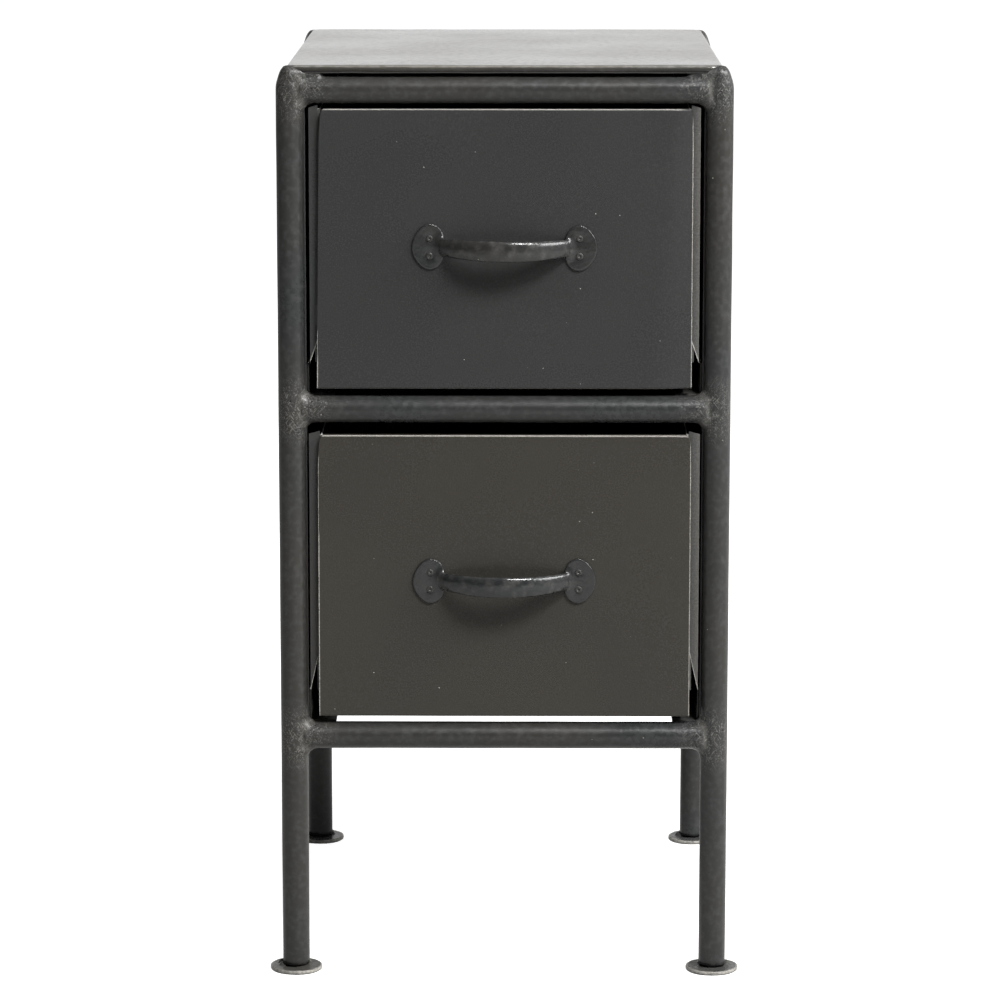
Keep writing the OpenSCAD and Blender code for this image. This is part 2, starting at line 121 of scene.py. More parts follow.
def lacqueredSteel(name, look):
    material = bpy.data.materials.new(name)
    tree = emptyTree(material)
    place = addNode(tree, "ShaderNodeTexCoord").outputs["Object"]
    drawn = addNode(tree, "ShaderNodeMapping", {"Scale": look["streakWay"]}, {"Vector": place}).outputs[0]
    wearAndHighlight, ground, paintedShade = [addNode(tree, "ShaderNodeAttribute", {"attribute_name": mark}).outputs["Fac"]
                          for mark in ("wearAndHighlight", "ground", "paintedShade")]

    # slow clouds where the steel is cooler or warmer, fine grain of the mill scale, long stains
    # along the way the steel was drawn, and bright sandy grain for the metal beside the welds
    noises, masks = {}, {}
    for pattern, way in (("cloud", place), ("grain", place), ("streak", drawn), ("sand", place)):
        settings = {"Scale": 1 / (look[pattern] * mm), "Detail": look[pattern + "Detail"]}
        noises[pattern] = addNode(tree, "ShaderNodeTexNoise", settings, {"Vector": way}).outputs["Fac"]
        start, end = look[pattern + "Cut"]
        settings = {"From Min": start, "From Max": end, "To Max": look[pattern + "Share"]}
        masks[pattern] = addNode(tree, "ShaderNodeMapRange", settings, {"Value": noises[pattern]}).outputs[0]

    # dust and nibs caught in the lacquer, larger than real so that they show
    cells = addNode(tree, "ShaderNodeTexVoronoi", {"Scale": 1 / (look["speck"] * mm)}, {"Vector": place})
    near = addNode(tree, "ShaderNodeMapRange",
                   {"From Min": look["speckSize"], "From Max": look["speckSize"] * look["speckCore"]},
                   {"Value": cells.outputs["Distance"]}).outputs[0]
    draw = addNode(tree, "ShaderNodeSeparateColor", None, {"Color": cells.outputs["Color"]}).outputs[0]
    chosen = addNode(tree, "ShaderNodeMapRange",
                     {"From Min": 1 - look["speckShare"], "From Max": 1 - look["speckShare"] / 2},
                     {"Value": draw}).outputs[0]
    speck = addNode(tree, "ShaderNodeMath", {"operation": "MULTIPLY"}, {0: near, 1: chosen}).outputs[0]

    # two crossing sets of short grinding strokes
    strokes = []
    start, end = look["strokeCut"]
    for turn in look["strokeTurns"]:
        settings = {"vector_type": "TEXTURE", "Rotation": (0, turn, 0), "Scale": look["strokeWay"]}
        way = addNode(tree, "ShaderNodeMapping", settings, {"Vector": place}).outputs[0]
        settings = {"Scale": 1 / (look["stroke"] * mm), "Detail": look["strokeDetail"]}
        lines = addNode(tree, "ShaderNodeTexNoise", settings, {"Vector": way}).outputs["Fac"]
        settings = {"From Min": start, "From Max": end}
        strokes.append(addNode(tree, "ShaderNodeMapRange", settings, {"Value": lines}).outputs[0])
    crossed = addNode(tree, "ShaderNodeMath", {"operation": "MAXIMUM"}, dict(enumerate(strokes))).outputs[0]

    # pits of the welds, seen as dark dots
    holes = addNode(tree, "ShaderNodeTexVoronoi", {"Scale": 1 / (look["pit"] * mm)}, {"Vector": place})
    hole, patch = [
        addNode(tree, "ShaderNodeMapRange", {"From Min": start, "From Max": end}, {"Value": seen}).outputs[0]
        for (start, end), seen in ((look["pitCut"], holes.outputs["Distance"]),
                                   (look["pitPatch"], noises["grain"]))]
    pitted = addNode(tree, "ShaderNodeMath", {"operation": "MULTIPLY"}, {0: hole, 1: patch}).outputs[0]

    # strokes, sandy grain and pits show only where the joints were dressed
    dressed, grit, pits = [
        addNode(tree, "ShaderNodeMath", {"operation": "MULTIPLY"}, {0: part, 1: ground}).outputs[0]
        for part in (crossed, masks["sand"], pitted)]
    bright = addNode(tree, "ShaderNodeMath", {"operation": "MULTIPLY", 1: look["strokeShare"]},
                     {0: dressed}).outputs[0]

    # edges rubbed down to the metal, and highlights painted on edges and strips
    (start, end), (least, most) = look["wearAndHighlightCut"], look["wearAndHighlightShare"]
    uneven = addNode(tree, "ShaderNodeMapRange",
                     {"From Min": start, "From Max": end, "To Min": least, "To Max": most},
                     {"Value": noises["grain"]}).outputs[0]
    rubAndHighlight = addNode(tree, "ShaderNodeMath", {"operation": "MULTIPLY", "use_clamp": True},
                     {0: wearAndHighlight, 1: uneven}).outputs[0]

    # the colour, laid on in this order, with the painted shade last
    settings = {"data_type": "RGBA", 6: linear(look["cool"]), 7: linear(look["warm"])}
    colour = addNode(tree, "ShaderNodeMix", settings, {0: masks["cloud"]}).outputs[2]
    for share, tint in ((masks["grain"], "pale"), (masks["streak"], "dark"), (speck, "speckColour"),
                        (bright, "metalAndHighlight"), (grit, "metalAndHighlight"), (pits, "dark"), (rubAndHighlight, "metalAndHighlight"), (paintedShade, "dark")):
        settings = {"data_type": "RGBA", 7: linear(look[tint])}
        colour = addNode(tree, "ShaderNodeMix", settings, {0: share, 6: colour}).outputs[2]

    (start, end), (least, most) = look["roughCut"], look["rough"]
    rough = addNode(tree, "ShaderNodeMapRange",
                    {"From Min": start, "From Max": end, "To Min": least, "To Max": most},
                    {"Value": noises["cloud"]}).outputs[0]
    rough = addNode(tree, "ShaderNodeMath", {"operation": "MULTIPLY_ADD", 1: look["roughGrain"]},
                    {0: masks["grain"], 2: rough}).outputs[0]
    height = noises["grain"]
    for part, size in ((speck, "nib"), (dressed, "cut"), (pits, "hole")):
        height = addNode(tree, "ShaderNodeMath", {"operation": "MULTIPLY_ADD", 1: look[size]},
                         {0: part, 2: height}).outputs[0]
    bump = addNode(tree, "ShaderNodeBump", {"Strength": 1.0, "Distance": look["bump"] * mm}, {"Height": height})
    shader = addNode(tree, "ShaderNodeBsdfPrincipled", {"Metallic": look["metallic"], "IOR": look["ior"]},
                     {"Base Color": colour, "Roughness": rough, "Normal": bump.outputs[0]})
    addNode(tree, "ShaderNodeOutputMaterial", None, {"Surface": shader.outputs[0]})
    return material


# Each finish is mild steel, blackened by its mill scale and sealed with clear lacquer, so what the eye
# meets is the lacquer: no metallic share, and an IOR matched to how much it mirrors
finishLooks = {
    "tube_lacquer": ("lacqueredDrawnTube", {  # dark, half gloss, with soft bright sides
        "cool": "#242525", "warm": "#272624", "rough": (0.26, 0.34), "ior": 1.32}),
    "foot_lacquer": ("lacqueredWasher", {  # paler, scuffed
        "cool": "#343534", "warm": "#393733", "grain": 2}),
    "top_sheet_lacquer": ("lacqueredTopSheet", {  # the glossiest, stained from side to side
        "cool": "#383835", "warm": "#3d3a34", "streakWay": (0.2, 1, 1), "rough": (0.14, 0.21), "ior": 1.5}),
    "side_sheet_lacquer": ("lacqueredSideSheet", {  # plain and even
        "cool": "#303131", "warm": "#323130", "grain": 1.3, "grainShare": 0.2}),
    "upper_front": ("lacqueredBlueSheet", {  # blue-black, fine grained
        "cool": "#272727", "warm": "#282828", "grain": 1.1, "grainShare": 0.2, "streakShare": 0.0}),
    "lower_front": ("lacqueredBrownSheet", {  # brown-black, fine grained
        "cool": "#2b2925", "warm": "#2d2b26", "grain": 1.1, "grainShare": 0.2, "streakShare": 0.0}),
    "inner_sheet": ("lacqueredInnerSheet", {  # paler folded sheet, with a painted highlight on its top edges
        "cool": "#393938", "warm": "#3b3a37", "grain": 1.3, "grainShare": 0.2, "metalAndHighlight": "#c8c6c0"}),
    "cast_handle": ("lacqueredCastIron", {  # black iron with a sandy skin, the bow rubbed smooth
        "cool": "#1d1e1f", "warm": "#222120", "pale": "#31302e", "grain": 1.6, "streakShare": 0.0,
        "bump": 0.04, "rough": (0.17, 0.24), "ior": 1.4}),
    "rivet_steel": ("lacqueredRivet", {  # dark and smooth
        "cool": "#2b2b2a", "warm": "#333230"}),
}
finishes = {slot: lacqueredSteel(name, dict(steelLook, **own)) for slot, (name, own) in finishLooks.items()}
print("materials made:", len(finishes))


def dress(piece, slot, body, *stands, finish=None):
    piece.data.materials.clear()
    piece.data.materials.append(finishes[finish or slot])
    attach(piece, body)
    if stands:
        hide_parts(*stands)
    return piece


def makePiece(name, points, faces, marks=None, smooth=True):
    mesh = bpy.data.meshes.new(name)
    mesh.from_pydata((np.asarray(points, float) * mm).tolist(), [], [list(map(int, f)) for f in faces])
    mesh.validate()
    if smooth:
        mesh.polygons.foreach_set("use_smooth", [True] * len(mesh.polygons))
    for mark, values in (marks or {}).items():
        mesh.attributes.new(mark, "FLOAT", "POINT").data.foreach_set("value", np.asarray(values, np.float32))
    return addObject(name, mesh)


def faceOutward(piece):
    bm = bmesh.new()
    bm.from_mesh(piece.data)
    bmesh.ops.recalc_face_normals(bm, faces=bm.faces)
    bm.to_mesh(piece.data)
    bm.free()
    return piece


def bevelEdges(piece, width, angle):
    bevel = piece.modifiers.new("edges", "BEVEL")
    bevel.width, bevel.segments = width * mm, 2
    bevel.limit_method, bevel.angle_limit = "ANGLE", math.radians(angle)
    bevel.harden_normals = True
    return piece


def roughness(points, size, seed):  # smooth noise at each point, about -0.5 to 0.5
    shift = Vector((seed * 7.3, seed * 3.1, seed * 5.7))
    return np.array([noise.noise(Vector(p) / size + shift) for p in points])


def swells(points, parts, seed):  # noises of several (height, size) added up
    return sum(height * roughness(points, size, seed + i) for i, (height, size) in enumerate(parts))


# Shapes given as fields: below nought inside, above nought outside, in millimetres

def softUnion(a, b, reach):  # two fields joined by a fillet about reach wide
    h = np.clip(1 - np.abs(a - b) / reach, 0, 1)
    return np.minimum(a, b) - h * h * reach / 4


def roundedSlab(outline, deep, edge):  # a plate from its outline's field and its depth's, with round edges
    corner = np.hypot(np.maximum(outline + edge, 0), np.maximum(deep + edge, 0))
    return corner + np.minimum(np.maximum(outline, deep) + edge, 0) - edge


def slopes(field, points, gap=0.02):
    out = np.empty_like(points)
    for axis in range(3):
        step = np.zeros(3)
        step[axis] = gap
        out[:, axis] = (field(points + step) - field(points - step)) / (2 * gap)
    return out


def settle(field, points, rounds=4, limit=1.0):  # moves points onto the field's surface
    for _ in range(rounds):
        slope = slopes(field, points)
        move = (field(points) / np.maximum((slope ** 2).sum(1), 1e-6))[:, None] * slope
        size = np.linalg.norm(move, axis=1, keepdims=True)
        points = points - move * np.minimum(1, limit / np.maximum(size, 1e-9))
    slope = slopes(field, points)
    return points, slope / np.maximum(np.linalg.norm(slope, axis=1, keepdims=True), 1e-9)


def skinOf(field, low, high, step):  # a closed net of quads over the field's surface
    axes = [np.arange(low[i], high[i] + step, step) for i in range(3)]
    shape = [len(a) for a in axes]
    grid = np.empty(shape, np.float32)
    layers = 24  # worked out a few layers at a time, to save memory
    for k in range(0, shape[2], layers):
        part = np.stack(np.meshgrid(axes[0], axes[1], axes[2][k:k + layers], indexing="ij"), -1)
        grid[:, :, k:k + layers] = field(part)
    inside = grid < 0
    cells = [n - 1 for n in shape]
    total, count = np.zeros(cells + [3], np.float32), np.zeros(cells, np.int16)
    for axis in range(3):
        lowPart = [slice(None)] * 3
        highPart = [slice(None)] * 3
        lowPart[axis], highPart[axis] = slice(0, -1), slice(1, None)
        a, b = grid[tuple(lowPart)], grid[tuple(highPart)]
        change = (a < 0) != (b < 0)
        share = np.where(change, a / np.where(change, a - b, 1), 0).astype(np.float32)
        others = [i for i in range(3) if i != axis]
        for first in (0, 1):
            for second in (0, 1):
                pick = [slice(None)] * 3
                pick[others[0]] = slice(first, first + cells[others[0]])
                pick[others[1]] = slice(second, second + cells[others[1]])
                c = change[tuple(pick)]
                count += c
                total[..., axis] += np.where(c, share[tuple(pick)], 0)
                total[..., others[0]] += c * first
                total[..., others[1]] += c * second
    busy = count > 0
    ids = np.full(cells, -1, np.int64)
    ids[busy] = np.arange(busy.sum())
    where = np.argwhere(busy)
    points = (where + total[busy] / count[busy][:, None]) * step + np.array([a[0] for a in axes])
    faces = []
    for axis in range(3):
        lowPart = [slice(1, -1)] * 3
        highPart = [slice(1, -1)] * 3
        lowPart[axis], highPart[axis] = slice(0, -1), slice(1, None)
        a, b = inside[tuple(lowPart)], inside[tuple(highPart)]
        other, third = (axis + 1) % 3, (axis + 2) % 3
        for flip, chosen in ((False, a & ~b), (True, ~a & b)):
            at = np.argwhere(chosen)
            at[:, other] += 1
            at[:, third] += 1
            corners = []
            for back in ((0, 0), (1, 0), (1, 1), (0, 1)):
                c = at.copy()
                c[:, other] -= back[0]
                c[:, third] -= back[1]
                corners.append(ids[c[:, 0], c[:, 1], c[:, 2]])
            quads = np.stack(corners, 1)
            faces.append(quads[:, ::-1] if flip else quads)
    return points.astype(float), np.concatenate(faces)


# The welded frame: four tube legs and nine tube rails run together at their joints

frameSizes = {"tube": 19, "legX": 148, "frontY": -174, "rearY": 187,
              "topZ": 626, "middleZ": 404, "bottomZ": 171, "noseRadius": 23.2,
              "legTop": 641.5, "discTop": 3, "lift": 1 / 19, "overlap": 2,
              "fillet": 8.5, "faceShare": 0.25,  # the weld's reach at the sides, and its share in front
              "lipBead": (182.6, 636.9, 3.5), "beadStart": 129, "beadGrow": 0.09, "beadFillet": 4.0,
              "weldHeight": 0.5, "ripples": ((1, 3.2), (0.6, 1.7)), "weldShine": 0.12,
              "seamWide": 5, "seamDeep": 8, "groundReach": 13, "groundFade": 16,
              "wave": 0.12, "waveSize": 38, "net": 2.2, "netZ": (-3, 648), "netEdge": 4,
              "jointIn": 5, "jointZone": 19}
frameMiddle = (frameSizes["frontY"] + frameSizes["rearY"]) / 2
liftTurns = {(-1, -1): -60, (1, -1): -120, (-1, 1): -80, (1, 1): -70}  # which way each leg's cut end is lifted
farAway = 1e3


def frameFields(p):  # the legs, the front and rear rails, and the side rails
    s = frameSizes
    r = s["tube"] / 2
    x, y, z = p[..., 0], p[..., 1], p[..., 2]
    dx = np.abs(x) - s["legX"]
    front = y < frameMiddle
    dy = np.where(front, y - s["frontY"], y - s["rearY"])
    inward = np.where(front, dy, -dy)
    rho = np.hypot(dx, dy)
    nose = np.hypot(rho + s["noseRadius"] - r, z - s["topZ"]) - s["noseRadius"]
    legs = np.maximum(np.where(z > s["topZ"], nose, rho - r), z - s["legTop"])
    foot = np.full_like(rho, s["discTop"])
    for (side, end), turn in liftTurns.items():
        a = math.radians(turn)
        here = (np.sign(x) == side) & (front == (end < 0))
        along = math.cos(a) * (x - side * s["legX"]) + math.sin(a) * dy + r
        foot = np.where(here, s["discTop"] + along * s["lift"], foot)
    legs = np.maximum(legs, foot - z)
    high, low = np.hypot(dy, z - s["topZ"]), np.hypot(dy, z - s["bottomZ"])
    middle = np.where(front, np.hypot(dy, z - s["middleZ"]), farAway)
    cross = np.maximum(np.minimum(np.minimum(high, low), middle) - r, np.abs(x) - s["legX"] + r - s["overlap"])
    sides = np.minimum(np.hypot(dx, z - s["topZ"]), np.hypot(dx, z - s["bottomZ"])) - r
    sides = np.maximum(sides, r - s["overlap"] - inward)
    return legs, cross, sides, dx, dy


def frameField(p):
    s = frameSizes
    r = s["tube"] / 2
    legs, cross, sides, dx, dy = frameFields(p)
    crossReach = s["fillet"] * (1 - (1 - s["faceShare"]) * np.clip(np.abs(dy) / r, 0, 1) ** 2)
    sideReach = s["fillet"] * (1 - (1 - s["faceShare"]) * np.clip(np.abs(dx) / r, 0, 1) ** 2)
    whole = softUnion(softUnion(legs, cross, crossReach), sides, sideReach)
    beadY, beadZ, beadR = s["lipBead"]
    x, y, z = np.abs(p[..., 0]), np.abs(p[..., 1] - frameMiddle), p[..., 2]
    along = np.clip(x, s["beadStart"], s["legX"])
    away = np.sqrt((x - along) ** 2 + (y - beadY) ** 2 + (z - beadZ) ** 2)
    bead = away - beadR - s["beadGrow"] * (along - s["beadStart"])
    return softUnion(whole, bead, s["beadFillet"])


def makeWeldedFrame():
    s = frameSizes
    edge = s["tube"] / 2 + s["netEdge"]
    points, faces = skinOf(frameField, (-s["legX"] - edge, s["frontY"] - edge, s["netZ"][0]),
                           (s["legX"] + edge, s["rearY"] + edge, s["netZ"][1]), s["net"])
    bm = bmesh.new()
    for p in points:
        bm.verts.new(p)
    bm.verts.ensure_lookup_table()
    for f in faces:
        bm.faces.new([bm.verts[i] for i in f])
    railEnds = ((s["frontY"], (s["topZ"], s["middleZ"], s["bottomZ"])), (s["rearY"], (s["topZ"], s["bottomZ"])))
    joints = [Vector((side * (s["legX"] - s["jointIn"]), y, z))
              for side in (-1, 1) for y, heights in railEnds for z in heights]
    near = [f for f in bm.faces if any((f.calc_center_median() - j).length < s["jointZone"] for j in joints)]
    edges = list({e for f in near for e in f.edges})
    bmesh.ops.subdivide_edges(bm, edges=edges, cuts=1, use_grid_fill=True)
    bm.verts.index_update()
    points = np.array([v.co[:] for v in bm.verts])
    faces = [[v.index for v in f.verts] for f in bm.faces]
    bm.free()
    points, normals = settle(frameField, points)
    legs, cross, sides, dx, dy = frameFields(points)
    seam = np.zeros(len(points))
    for rail in (cross, sides):
        beside = np.clip(1 - np.abs(legs - rail) / s["seamWide"], 0, 1)
        shallow = np.clip(1 - np.maximum(np.abs(legs), np.abs(rail)) / s["seamDeep"], 0, 1)
        seam = np.maximum(seam, beside * shallow)
    far = np.min([np.linalg.norm(points - np.array(j), axis=1) for j in joints], axis=0)
    ground = np.clip(1 - (far - s["groundReach"]) / s["groundFade"], 0, 1)
    ripple = swells(points, s["ripples"], 1)
    waves = s["wave"] * roughness(points, s["waveSize"], 3)
    points = points + normals * (seam * ripple * s["weldHeight"] + waves)[:, None]
    return makePiece("weldedFrame", points, faces, {"ground": ground, "wearAndHighlight": seam * s["weldShine"]})


weldedFrame = makeWeldedFrame()
dress(weldedFrame, "tube_lacquer", "frame",
      *[n for n in nodes if n.endswith("_post") or n.endswith("_rail")], "front_rail_welds", "rear_rail_welds",
      "side_rail_welds", "lip_welds")
print("welded frame made:", len(weldedFrame.data.polygons), "faces")


# Folded sheet, seen as rings of points

def ringLoft(rings, poles=None):  # rings of equal length, joined in order, with a point at each end
    count = len(rings[0])
    points = [p for ring in rings for p in ring]
    faces = []
    for i in range(len(rings) - 1):
        for j in range(count):
            k = (j + 1) % count
            faces.append((i * count + j, i * count + k, (i + 1) * count + k, (i + 1) * count + j))
    if poles:
        for ring, pole, turn in ((0, poles[0], 1), (len(rings) - 1, poles[1], -1)):
            points.append(pole)
            tip = len(points) - 1
            for j in range(count):
                pair = (ring * count + j, ring * count + (j + 1) % count)
                faces.append((tip, pair[1], pair[0]) if turn > 0 else (tip, pair[0], pair[1]))
    return np.array(points, float), faces


def slabFaces(across, along, start=0):  # the faces of a slab of two layers, each of across by along points
    size = across * along
    faces = []
    for i in range(across - 1):
        for j in range(along - 1):
            a = start + i * along + j
            faces.append((a, a + along, a + along + 1, a + 1))
            faces.append((a + size, a + size + 1, a + size + along + 1, a + size + along))
    rim = [i * along for i in range(across)] + [(across - 1) * along + j for j in range(1, along)]
    rim += [i * along + along - 1 for i in range(across - 2, -1, -1)] + list(range(along - 2, 0, -1))
    for a, b in zip(rim, rim[1:] + rim[:1]):
        faces.append((start + b, start + a, start + a + size, start + b + size))
    return faces


topSizes = {"halfX": 150, "frontY": -179.5, "rearY": 192.5, "high": 643, "corner": 8, "fold": 2.2, "sheet": 1.5,
            "rings": 24, "foldRings": 6, "innerRings": 12, "sideCount": 46, "cornerCount": 8,
            "lipLow": 637.5, "flare": 0.9, "lipBend": 1.8, "lipRound": 0.4, "innerFold": 0.7,
            "sag": 0.7, "sagSwells": ((1, 95), (0.35, 34)), "rimSag": 0.25, "rimSize": 26,
            "sink": 0.15, "rim": 9, "wave": 0.35, "lipSwells": ((1, 30), (0.5, 9)),
            "lipLift": 0.8, "lipSize": 22,
            "shine": 0.2, "shineWide": 1.2, "paintedShade": 0.95, "paintedShadeDeep": 3}


def roundedOutline(halfX, halfY, corner, sideCount, cornerCount):
    points = []
    for quarter in range(4):
        turn = math.pi / 2 * quarter
        reach = (halfX, halfY) if quarter % 2 == 0 else (halfY, halfX)
        spots = []
        for i in range(cornerCount + 1):
            a = math.pi / 2 * i / cornerCount
            spots.append((reach[0] - corner + corner * math.cos(a), reach[1] - corner + corner * math.sin(a)))
        for i in range(1, sideCount):
            spots.append(((reach[0] - corner) * (1 - 2 * i / sideCount), reach[1]))
        points += [(math.cos(turn) * u - math.sin(turn) * v, math.sin(turn) * u + math.cos(turn) * v)
                   for u, v in spots]
    return points


def makeTopSheet():
    s = topSizes
    halfY, middle = (s["rearY"] - s["frontY"]) / 2, (s["rearY"] + s["frontY"]) / 2
    high, fold, sheet, low, flare = s["high"], s["fold"], s["sheet"], s["lipLow"], s["flare"]
    bend, edge, inner = s["lipBend"], s["lipRound"], s["innerFold"]

    def ring(inset, z, share=1.0):
        corner = max(s["corner"] - inset, 0.5)
        return [(x * share, y * share + middle, z) for x, y in
                roundedOutline(s["halfX"] - inset, halfY - inset, corner, s["sideCount"], s["cornerCount"])]

    rings = [ring(fold, high, i / s["rings"]) for i in range(2, s["rings"] + 1)]
    for i in range(1, s["foldRings"] + 1):
        a = math.pi / 2 * i / s["foldRings"]
        rings.append(ring(fold * (1 - math.sin(a)), high - fold * (1 - math.cos(a))))
    rings += [ring(-0.5 * flare, low + bend), ring(-flare, low + edge), ring(0.35 - flare, low),  # down the lip
              ring(sheet - 0.3 - flare, low), ring(sheet - flare, low + edge),  # and up its inside
              ring(sheet, high - sheet - inner), ring(sheet + inner, high - sheet)]
    rings += [ring(fold, high - sheet, i / s["innerRings"]) for i in range(s["innerRings"], 1, -1)]
    points, faces = ringLoft(rings, ((0, middle, high), (0, middle, high - sheet)))
    x, y, z = points.T
    inset = np.minimum(s["halfX"] - np.abs(x), halfY - np.abs(y - middle))
    rim = np.clip(1 - inset / s["rim"], 0, 1)
    flat = points * np.array([1, 1, 0])
    sag = swells(flat, s["sagSwells"], 11)
    rimSag = s["rimSag"] * s["sag"] * roughness(flat, s["rimSize"], 13) * rim
    points[:, 2] += s["sag"] * sag * (1 - rim) + rimSag - s["sink"] * (1 - rim)
    outer = inset < sheet + 0.1
    lip = np.clip((high - 1 - z) / 4, 0, 1) * outer
    points[:, 1] += s["wave"] * swells(points, s["lipSwells"], 14) * lip * np.sign(y - middle)
    points[:, 2] += s["wave"] * s["lipLift"] * lip * roughness(points, s["lipSize"], 16)
    # painted highlight: the crest of the fold is paler
    crest = np.clip(1 - np.abs(inset - s["shineWide"] / 2) / s["shineWide"], 0, 1) * (z > high - 1.6)
    # painted shade: the lip's face darkens towards its lower edge
    paintedShade = np.clip((high - 0.8 - z) / s["paintedShadeDeep"], 0, 1) * outer
    return makePiece("topSheet", points, faces, {"wearAndHighlight": crest * s["shine"], "paintedShade": paintedShade * s["paintedShade"]})


dress(makeTopSheet(), "top_sheet_lacquer", "frame", "top_sheet")


# Drawer fronts: sheet with a return folded back along both edges, a little warped, and the upper
# one's right edge curled forward

frontSizes = {"halfX": 130, "faceY": -181.5, "sheet": 1.2, "return": 8, "fold": 1.4, "corner": 2.5,
              "cornerFade": 12, "rows": 34, "columns": 48, "foldSteps": 7,
              "ends": (0, 0.25, 0.7, 1.3, 2.1, 3.2, 5), "warp": 0.55, "warpSwells": ((1.3, 105), (0.25, 30)),
              "curlWide": 24, "topCreep": 26, "creep": (1.2, -0.8), "sideShine": 0.6, "topShine": 0.9,
              "topShineDeep": (0.6, 1.6), "lowShine": 0.3, "lowShineDeep": 0.6,
              "handleShade": (-8, -16, 46, 24, 0.4), "bevel": 0.3, "bevelAngle": 50}
frontLevels = {
    "upper": {"low": 419, "high": 613, "handleZ": 518, "tilt": 0.5, "seed": 21, "curl": 4.1, "lean": 2.6},
    "lower": {"low": 186, "high": 386, "handleZ": 283.5, "tilt": 0.0, "seed": 31, "curl": 0.5, "lean": 0.4}}


def makeFront(level):
    s, own = frontSizes, frontLevels[level]
    low, high, seed, halfX = own["low"], own["high"], own["seed"], s["halfX"]
    face, sheet, fold, back = s["faceY"], s["sheet"], s["fold"], s["faceY"] + s["return"]
    bend = face + fold + 3

    def path(inset):  # the C of the sheet, from the lower return's end round to the upper one's
        r = fold - inset
        turns = np.linspace(0, math.pi / 2, s["foldSteps"])
        points = [(back, low + inset), (bend, low + inset)]
        points += [(face + fold - r * math.sin(a), low + fold - r * math.cos(a)) for a in turns]
        points += [(face + inset, z) for z in np.linspace(low + fold, high - fold, s["rows"])[1:-1]]
        points += [(face + fold - r * math.cos(a), high - fold + r * math.sin(a)) for a in turns]
        return points + [(bend, high - inset), (back, high - inset)]

    section = path(0) + path(sheet)[::-1]
    ends = halfX - np.array(s["ends"])
    stations = np.concatenate([-ends, np.linspace(-ends[-1], ends[-1], s["columns"])[1:-1], ends[::-1]])
    points, faces = ringLoft([[(x, y, z) for y, z in section] for x in stations])
    last = (len(stations) - 1) * len(section)
    for i in range(len(section) // 2 - 1):
        quad = (i, i + 1, len(section) - 2 - i, len(section) - 1 - i)
        faces.append(quad)
        faces.append(tuple(last + q for q in quad[::-1]))
    x, y, z = points.T  # these follow the points as they move
    over = np.clip(np.abs(x) - halfX + s["corner"], 0, s["corner"])
    share = np.clip((z - high + s["cornerFade"]) / s["cornerFade"], 0, 1)
    points[:, 2] -= (s["corner"] - np.sqrt(s["corner"] ** 2 - over ** 2)) * share
    points[:, 1] += s["warp"] * swells(points * np.array([1, 0, 1]), s["warpSwells"], seed)
    top, up = np.clip((z - high + s["topCreep"]) / s["topCreep"], 0, 1) ** 2, (z - low) / (high - low)
    left, right = s["creep"]
    points[:, 0] += np.where(x < 0, (own["lean"] * up + left * top) * (-x / halfX) ** 8,
                             right * top * (x / halfX) ** 8)
    wide = s["curlWide"] * (1.2 - 0.6 * up)
    points[:, 1] += own["curl"] * np.clip((x - halfX + wide) / wide, 0, 1) ** 2
    # painted highlights: the side edges, the top fold and the lower edge are paler
    side = np.abs(x) > halfX - 0.5
    down, behind = s["topShineDeep"]
    crest = np.clip(1 - (high - z) / down, 0, 1) * np.clip(1 - (y - face - fold) / behind, 0, 1)
    foot = np.clip(1 - (z - low) / s["lowShineDeep"], 0, 1)
    wearAndHighlight = np.where(side, s["sideShine"], 0) + s["topShine"] * crest + foot * s["lowShine"]
    across, below, halfWide, halfTall, most = s["handleShade"]  # painted shade: a darker patch just below the handle
    paintedShade = most * np.exp(-((x - across) / halfWide) ** 2 - ((z - own["handleZ"] - below) / halfTall) ** 2)
    piece = makePiece(level + "Front", points, faces, {"wearAndHighlight": wearAndHighlight, "paintedShade": paintedShade})
    return bevelEdges(piece, s["bevel"], s["bevelAngle"])


for level in frontLevels:
    dress(makeFront(level), "drawer_front_lacquer", level + "_drawer", level + "_front",
          finish=level + "_front")
print("top sheet and drawer fronts made")


# Side and back sheets, hollowed a little by their welds

panelSizes = {"y": (-174, 187), "z": (171, 626), "x": (-138, 138), "thick": 1.2, "sag": 0.9, "edge": 40,
              "swells": ((1.4, 120), (0.25, 36)), "across": 60, "along": 70}
# the axis that each panel lies across, its place on that axis and the seed of its hollows
panelPlaces = {"right": (0, 137.6, 41), "left": (0, -138.8, 43), "back": (1, 176.6, 45)}


def makePanel(side, axis, at, seed):
    s = panelSizes
    first, second = [i for i in range(3) if i != axis]
    (aLow, aHigh), (bLow, bHigh) = s["xyz"[first]], s["xyz"[second]]
    points = []
    for layer in (0, s["thick"]):
        for u in np.linspace(aLow, aHigh, s["across"]):
            for v in np.linspace(bLow, bHigh, s["along"]):
                p = [0, 0, 0]
                p[axis], p[first], p[second] = at + layer, u, v
                points.append(p)
    points = np.array(points, float)
    a, b = points[:, first], points[:, second]
    share = np.clip(np.minimum.reduce([a - aLow, aHigh - a, b - bLow, bHigh - b]) / s["edge"], 0, 1)
    flat = points.copy()
    flat[:, axis] = 0
    points[:, axis] += s["sag"] * share * swells(flat, s["swells"], seed)
    return faceOutward(makePiece(side + "Panel", points, slabFaces(s["across"], s["along"])))


for side, (axis, at, seed) in panelPlaces.items():
    dress(makePanel(side, axis, at, seed), "side_sheet_lacquer", "frame", side + "_sheet")


# Cast bow handles

